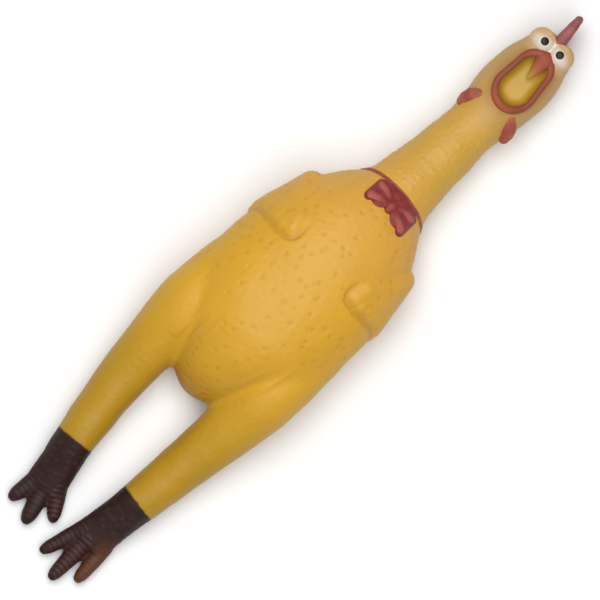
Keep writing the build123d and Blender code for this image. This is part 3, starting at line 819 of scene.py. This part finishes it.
def skin_piece(name, picked):
    """The picked part of the skin, with a wall and the whole skin's normals."""
    bm = skin.copy()
    unwanted = [face for face in bm.faces if not picked(face)]
    bmesh.ops.delete(bm, geom=unwanted, context="FACES")
    bmesh.ops.solidify(bm, geom=bm.faces[:], thickness=WALL * MM)
    made = piece_from(bm, name, SKIN)
    mesh = made.data
    normals = [(0.0, 0.0, 0.0)] * len(mesh.loops)
    for polygon in mesh.polygons:
        keys = [mark(mesh.vertices[number].co) for number in polygon.vertices]
        if all(key in skin_normals for key in keys):
            for loop, key in zip(polygon.loop_indices, keys):
                normals[loop] = skin_normals[key]
    mesh.normals_split_custom_set(normals)
    return made


print("faces of the wings:", [len(faces) for faces in wing_faces.values()])

# %% The pieces of the trunk, neck and head
for name, low, high in (("hip_skin", -84, -10), ("chest_skin", -10, 64)):
    trunk = skin_piece(name, stretch(low, high))
    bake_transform(trunk)
    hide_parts("torso_shell", "belly_panel")

for word, side in (("left", 1), ("right", -1)):
    wing_skin = skin_piece(f"{word}_wing_skin", wing(side))
    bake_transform(wing_skin)
    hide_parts(f"{word}_wing")

neck_skin = skin_piece("neck_skin", stretch(64, 88))
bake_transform(neck_skin)
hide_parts("neck_base", "neck")

head_skin = skin_piece("head_skin", stretch(88, 300))
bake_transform(head_skin)
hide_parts("neck_bend", "head_shell")

# %% The pieces of the legs
# A stretch of leg: its body, where it lies along y, where it bends, the ring of skin it stands for, its slot.
LEG_STRETCHES = [
    ("upper_leg", (-101, -84), (-84, -99), "hip_bend", "vinyl_skin"),
    ("lower_leg", (-123, -101), (-102, -122), "knee_bend", "vinyl_skin"),
    ("foot", (-300, -123), (-124, -142), "ankle_bend", "foot_paint"),
]
for word, side in (("left", 1), ("right", -1)):
    for part, (low, high), (bend_from, bend_to), ring, slot in LEG_STRETCHES:
        body = f"{word}_{part}"
        leg_skin = skin_piece(f"{body}_skin", stretch(low, high, side))
        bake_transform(leg_skin)
        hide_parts(f"{word}_{ring}", body)

# %% [markdown]
# ## Painted reds
# The comb, wattles, lips, bow tie and collar are brushed or sprayed in slightly different reds. Thin paint
# lets the yellow vinyl show at the edges of the strokes, so each red is mixed with a second tone in soft
# patches, and it is a little glossier than bare vinyl.

# %% Paint recipe and the reds


def make_paint(name, main, second, patch_mm, roughness, depth_mm=0.15, worn_and_highlit=None, specular=0.5):
    """Brushed paint: two tones in patches, with faint strokes in the surface, and high spots made lighter,
    partly worn paint and partly a painted highlight.
    """
    recipe = Recipe(name)
    place = recipe.rest()
    patches = recipe.fade(recipe.cloud(place, patch_mm, 3.0), 0.35, 0.68)
    strokes = recipe.cloud(place, 0.8, 3.0)
    colour = recipe.blend(patches, main, second)
    # the high spots are lighter: worn paint and a painted highlight
    if worn_and_highlit is not None:
        colour = recipe.blend(recipe.spot("wear_and_highlight") * 0.75, colour, worn_and_highlit)
    colour = recipe.tint(colour, 0.92 + strokes * 0.16)
    height = strokes + recipe.cloud(place, 3.0) * 1.5
    return recipe.finish(colour, roughness + strokes * 0.12, height, depth_mm, specular)


COMB_RED = make_paint("comb_paint", ink(152, 82, 82), ink(134, 68, 68), 5, 0.5, 0.25)
WATTLE_RED = make_paint("wattle_paint", ink(172, 94, 62), ink(144, 70, 58), 6, 0.5, specular=0.3)
BOW_RED = make_paint("bow_paint", ink(138, 50, 48), ink(122, 42, 44), 4, 0.45,
                     worn_and_highlit=ink(186, 100, 88), specular=0.3)
COLLAR_RED = make_paint("collar_paint", ink(134, 54, 46), ink(152, 80, 54), 4, 0.45)
PUPIL_BLACK = make_paint("pupil_black", ink(20, 18, 12), ink(34, 30, 18), 2, 0.3, 0.03, specular=0.2)


def make_lip_paint(name, fade_low, fade_high):
    """Red-brown on the mouth's rim, darker down its sides; on the beak it fades to bare ochre at the tip."""
    recipe = Recipe(name)
    place = recipe.rest()
    x, y, z = recipe.axes(place)
    strokes = recipe.cloud(place, 1.6, 3.0)
    sides = recipe.fade(abs(x - 1.2), 5, 10)
    low = 1 - recipe.fade(y, 138, 150)
    colour = recipe.blend(sides, ink(148, 72, 50), ink(136, 68, 44))
    colour = recipe.blend(low * (1 - sides) * 0.6, colour, ink(150, 80, 46))
    colour = recipe.blend(1 - recipe.fade(y + strokes * 3.0, fade_low, fade_high), colour, ink(182, 130, 58))
    colour = recipe.tint(colour, 0.92 + strokes * 0.16)
    return recipe.finish(colour, 0.46 + strokes * 0.12, strokes, 0.15, specular=0.25)


LIP_PAINT = make_lip_paint("lip_paint", -20, -10)
BEAK_PAINT = make_lip_paint("beak_paint", 157, 170)
print("paints ready")

# %% [markdown]
# ## Lips and upper beak
# The mouth's rim is a soft ring that lies on the face, thicker at the jaw and at the beak. It is a sweep
# round the egg outline, set at the height of the skin. The beak's hooked point hangs from its top into
# the mouth: a rod that gets thinner, flattened a little.

# %% Sweep the lips
LIP_R, LIP_END_R, LIP_FLATTEN, LIP_STEPS = 1.8, 2.4, 0.68, 72
LIP_SEAT = 0.92  # how far outside the pocket's edge the lip's middle lies, in lip radii
FINE_GRAIN = 0.4


def egg_point(angle, grow):
    """The point of the egg outline, grown outwards, in one direction from the middle of the mouth."""
    near, far = 0.0, 40.0
    for _ in range(30):  # halves the gap each time
        middle = (near + far) / 2
        if out_of_mouth(MOUTH_X + middle * cos(angle), middle * sin(angle)) < grow:
            near = middle
        else:
            far = middle
    return MOUTH_X + near * cos(angle), near * sin(angle)


def lip_radius(angle):
    """The lip's thickness at an angle: more at the jaw and at the beak."""
    return LIP_R + (LIP_END_R - LIP_R) * abs(sin(angle)) ** 6


lip_line = []
for number in range(LIP_STEPS):
    angle = 2 * pi * number / LIP_STEPS
    radius = lip_radius(angle)
    x, y, _ = on_face(*egg_point(angle, radius * LIP_SEAT), 0)
    lip_line.append((Vector((x, y, skin_z(x, y))), radius))
lip_frames = []
for number, (point, radius) in enumerate(lip_line):
    ahead = lip_line[(number + 1) % LIP_STEPS][0] - lip_line[number - 1][0]
    turn = ahead.to_track_quat("Z", "Y").to_matrix().to_4x4()
    size = Matrix.Diagonal((radius * MM, radius * LIP_FLATTEN * MM, 1, 1))
    lip_frames.append(Matrix.Translation(at(*point)) @ turn @ size)
ring = bmesh.new()
sweep(ring, lip_frames, closed=True, segments=16)
ring = knead(ring, FINE_GRAIN)
smooth(ring, 4)
lips = piece_from(ring, "mouth_rim", LIP_PAINT)
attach(lips, "head")
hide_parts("lips")

# %% Hang the upper beak
BEAK_X, BEAK_ROOT_Y, BEAK_TIP_Y = 1.3, 15.2, 2.4
BEAK_RADII = (4.8, 4.1, 3.0, 1.9, 1.0)
BEAK_ROOT_Z, BEAK_DROP, BEAK_FLATTEN = 33.2, 1.6, 0.5
bm = bmesh.new()
beak_line = []
for number in range(len(BEAK_RADII)):
    along = number / (len(BEAK_RADII) - 1)
    y = BEAK_ROOT_Y + (BEAK_TIP_Y - BEAK_ROOT_Y) * along
    beak_line.append(on_face(BEAK_X, y, BEAK_ROOT_Z - BEAK_DROP * along ** 2))
rod(bm, beak_line, BEAK_RADII)
flatten = Matrix.Scale(BEAK_FLATTEN, 4, (0, 0, 1))
hinge = Matrix.Translation(at(0, 0, BEAK_ROOT_Z))
bmesh.ops.transform(bm, matrix=hinge @ flatten @ hinge.inverted(), verts=bm.verts)
bm = knead(bm, FINE_GRAIN)
smooth(bm, 3)
beak = piece_from(bm, "beak_point", BEAK_PAINT)
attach(beak, "head")
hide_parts("upper_beak")

# %% [markdown]
# ## Eyes
# Each eye is a white dome in the skull's bulge. White was sprayed across both at once, so it fades at the
# outer corners, and each pupil is a drop of glossy black that stands a little proud.

# %% Domes and pupils
PUPIL_X, PUPIL_Y, PUPIL_R, PUPIL_THICK = 5.3, 22.3, 2.15, 0.6


def make_eye_white():
    """White spray that thins out to beige away from the middle of the face."""
    recipe = Recipe("eye_white")
    place = recipe.rest()
    x, y, z = recipe.axes(place)
    speckle = recipe.cloud(place, 1.2, 3.0)
    ring, white = eye_spray(recipe, x, y)
    colour = recipe.blend(white * 0.95, BEIGE, WHITE)
    colour = recipe.tint(colour, 0.95 + speckle * 0.08)
    return recipe.finish(colour, 0.32 + speckle * 0.1, speckle, 0.06)


EYE_WHITE = make_eye_white()
for word, side in (("left", 1), ("right", -1)):
    centre = on_face(side * EYE_X, EYE_Y, EYE_Z)
    bm = bmesh.new()
    ball(bm, centre, [EYE_R] * 3)
    below = at(0, 0, EYE_Z - 1.5)
    geometry = bm.verts[:] + bm.edges[:] + bm.faces[:]
    cut = bmesh.ops.bisect_plane(bm, geom=geometry, plane_co=below, plane_no=(0, 0, 1), clear_inner=True)
    rim = [edge for edge in cut["geom_cut"] if isinstance(edge, bmesh.types.BMEdge)]
    bmesh.ops.holes_fill(bm, edges=rim)
    eye = piece_from(bm, f"{word}_eye_dome", EYE_WHITE)
    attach(eye, "head")
    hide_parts(f"{word}_eye")
    looking = Vector(on_face(side * PUPIL_X, PUPIL_Y, EYE_Z)) - Vector(centre)
    looking.z = sqrt(EYE_R ** 2 - looking.length_squared)
    bm = bmesh.new()
    turn = looking.to_track_quat("Z", "Y").to_matrix()
    ball(bm, Vector(centre) + looking, (PUPIL_R, PUPIL_R, PUPIL_THICK), turn)
    pupil = piece_from(bm, f"{word}_pupil_drop", PUPIL_BLACK)
    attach(pupil, "head")
    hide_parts(f"{word}_pupil")

# %% [markdown]
# ## Comb and wattles
# The comb is a thin fin along the middle of the skull with four rounded points. The wattles are soft
# lobes at the corners of the jaw that hang outwards. Both are rods kneaded together, with shallow
# wrinkles like those of a real comb.

# %% Grow the comb
WRINKLE_HEIGHT, FLESH_GRAIN = 0.3, 0.45
COMB_ROOT_Y, COMB_ROOT_R, COMB_TIP_R = 179.0, 4.0, 2.3
COMB_POINTS = [(7.5, 188.0, 4.8), (13.5, 195.4, 12.0), (21.5, 198.0, 21.8), (28.5, 196.0, 30.6)]
COMB_X, COMB_LEAN = 0.2, 0.125  # the comb leans to the chicken's right towards its tip


def wrinkle(bm, spacing_mm):
    """Shallow wrinkles, about that far apart."""
    bm.normal_update()
    for vert in bm.verts:
        vert.co += vert.normal * WRINKLE_HEIGHT * MM * noise.noise(vert.co / (spacing_mm * MM))


bm = bmesh.new()
for root_z, tip_y, tip_z in COMB_POINTS:
    points, radii = [], []
    for along in (0.0, 0.35, 0.7, 1.0):
        y = COMB_ROOT_Y + (tip_y - COMB_ROOT_Y) * along
        points.append((COMB_X - COMB_LEAN * (y - COMB_ROOT_Y), y, root_z + (tip_z - root_z) * along))
        radii.append(COMB_ROOT_R + (COMB_TIP_R - COMB_ROOT_R) * along)
    rod(bm, points, radii)
for web_y, radius in ((COMB_ROOT_Y, COMB_ROOT_R), (183.0, 3.6), (187.0, 3.1)):
    web = [(COMB_X - COMB_LEAN * (web_y - COMB_ROOT_Y), web_y, z) for z in (7.5, 13.5, 21.5, 28.5)]
    rod(bm, web, [radius] * len(web))
bm = knead(bm, FLESH_GRAIN)
smooth(bm, 12)
wrinkle(bm, 2.6)
comb = piece_from(bm, "comb_fin", COMB_RED)
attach(comb, "head")
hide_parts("comb")

# %% Hang the wattles
WATTLES = {
    "left": [(11.3, 137.0, 30.5, 2.6), (14.2, 133.2, 27.6, 4.2), (15.8, 129.6, 24.8, 4.0),
             (16.6, 127.6, 23.6, 2.8)],
    "right": [(-8.8, 134.0, 30.6, 3.0), (-11.2, 130.6, 28.2, 4.3), (-12.3, 126.8, 26.4, 3.9),
              (-12.4, 124.8, 25.8, 2.8)],
}
for word, stops in WATTLES.items():
    bm = bmesh.new()
    rod(bm, [stop[:3] for stop in stops], [stop[3] for stop in stops])
    bm = knead(bm, FLESH_GRAIN)
    smooth(bm, 4)
    wrinkle(bm, 2.4)
    wattle = piece_from(bm, f"{word}_wattle_lobe", WATTLE_RED)
    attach(wattle, "head")
    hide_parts(f"{word}_wattle")

# %% [markdown]
# ## Collar and bow tie
# The collar is a painted line that stands slightly proud round the base of the neck. It is a strip cut
# from a copy of the skin by two slanting planes, pushed out and given a thickness. The bow tie has two
# loops, each of an upper and a lower puff, and a knot. It is made flat and then laid over the chest.

# %% Cut the collar
COLLAR_Y, COLLAR_Z, COLLAR_TILT, COLLAR_HALF, COLLAR_RISE = 63.8, 24.6, radians(17), 0.95, 0.45
collar_normal = Vector((0, cos(COLLAR_TILT), -sin(COLLAR_TILT)))
bm = skin.copy()
for side in (1, -1):
    everything = bm.verts[:] + bm.edges[:] + bm.faces[:]
    outwards = collar_normal * side
    plane = at(0, COLLAR_Y, COLLAR_Z) + outwards * COLLAR_HALF * MM
    bmesh.ops.bisect_plane(bm, geom=everything, plane_co=plane, plane_no=outwards, clear_outer=True)
for vert in bm.verts:
    vert.co += vert.normal * COLLAR_RISE * MM
bmesh.ops.solidify(bm, geom=bm.faces[:], thickness=1.0 * MM)
collar = piece_from(bm, "collar_line", COLLAR_RED)
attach(collar, "torso")
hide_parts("collar")

# %% Tie the bow
BOW_X, BOW_FLATTEN, BOW_LIFT, PUFF_Z, EDGE_Z = 3.0, 0.78, 0.5, 0.7, -0.8
# A loop's puffs, outwards from the knot: x from the bow's middle, y, radius.
BOW_PUFFS = [
    [(4.4, 64.0, 1.6), (8.2, 64.5, 2.2), (11.8, 64.2, 2.4)],
    [(4.4, 60.0, 1.7), (8.2, 58.6, 2.3), (12.0, 56.6, 2.6)],
]
BOW_SAG = 0.05  # the bow hangs lower on the chicken's left
bm = bmesh.new()
for side in (-1, 1):
    for puff in BOW_PUFFS:
        rod(bm, [(BOW_X + side * x, y, PUFF_Z) for x, y, _ in puff], [radius for _, _, radius in puff])
    # the loop's outer edge, and the cloth between its puffs
    rod(bm, [(BOW_X + side * 12.4, 64.6, EDGE_Z), (BOW_X + side * 12.4, 55.6, EDGE_Z)], [2.4, 2.6])
    ball(bm, (BOW_X + side * 7.6, 61.4, -0.6), (6.6, 7.0, 2.4))
# the knot, and the band that joins the bow to the collar
ball(bm, (BOW_X, 60.6, 0.3), (3.2, 4.2, 2.4))
ball(bm, (BOW_X, 66.4, -0.6), (13.0, 3.4, 2.0))
bmesh.ops.transform(bm, matrix=Matrix.Scale(BOW_FLATTEN, 4, (0, 0, 1)), verts=bm.verts)
bm = knead(bm, FINE_GRAIN)
smooth(bm, 4)
# the higher the bow stands, the lighter its paint: worn paint and a painted highlight
wear_and_highlight_layer = bm.verts.layers.float.new("wear_and_highlight")
for vert in bm.verts:
    vert[wear_and_highlight_layer] = gentle(vert.co.z / MM, 1.5, 2.5)
    vert.co.y -= BOW_SAG * (vert.co.x - BOW_X * MM)
    vert.co.z += (skin_z(vert.co.x / MM, vert.co.y / MM) + BOW_LIFT) * MM
bow = piece_from(bm, "bow", BOW_RED)
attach(bow, "torso")
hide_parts("bow_tie")
skin.free()

# %% [markdown]
# ## The squeaker
# The squeaker is inside the throat, so it keeps its plain machined shapes from the frame. It still gets
# its real finish: milky moulded polyethylene for the drum, and a clear stiff film for the reed.

# %% Finish the squeaker


def make_plastic(name, main, roughness):
    """Plain moulded plastic with a faint cloudiness."""
    recipe = Recipe(name)
    place = recipe.node("ShaderNodeTexCoord", {}, {}, "Object")
    cloud = recipe.cloud(place, 3.0)
    colour = recipe.tint(recipe.blend(cloud, main, ink(236, 234, 224)), 0.94 + cloud * 0.08)
    return recipe.finish(colour, roughness + cloud * 0.1, recipe.cloud(place, 0.6), 0.03)


SQUEAKER_PLASTIC = make_plastic("squeaker_plastic", ink(240, 240, 232), 0.42)
REED_FILM = make_plastic("reed_film", ink(222, 228, 232), 0.22)
finishes = {"squeaker_plastic": SQUEAKER_PLASTIC, "reed_film": REED_FILM}
for entry in frame["record"]["subparts"]:
    if entry["material_slot"] in finishes:
        node = frame["nodes"][entry["node"]]
        node.data.materials.clear()
        node.data.materials.append(finishes[entry["material_slot"]])
print("squeaker finished")

# %% [markdown]
# ## The table
# A plain white table top, a little rough, so that the toy casts only a faint soft shadow.

# %% Lay the table
TABLE_HALF = 6.0
UNDER_TOY = Matrix.Translation((0, 0, -0.2 * MM))
bm = bmesh.new()
bmesh.ops.create_grid(bm, x_segments=1, y_segments=1, size=TABLE_HALF, matrix=UNDER_TOY)
mesh = bpy.data.meshes.new("table")
bm.to_mesh(mesh)
bm.free()
table_top = bpy.data.objects.new("table", mesh)
scene.collection.objects.link(table_top)
table_recipe = Recipe("table_white")
table_place = table_recipe.node("ShaderNodeTexCoord", {}, {}, "Object")
table_colour = table_recipe.tint((0.93, 0.93, 0.93, 1), 0.97 + table_recipe.cloud(table_place, 90) * 0.02)
mesh.materials.append(table_recipe.finish(table_colour, 0.6, specular=0.2))

# %% [markdown]
# ## Close

# %% Close
print("done")
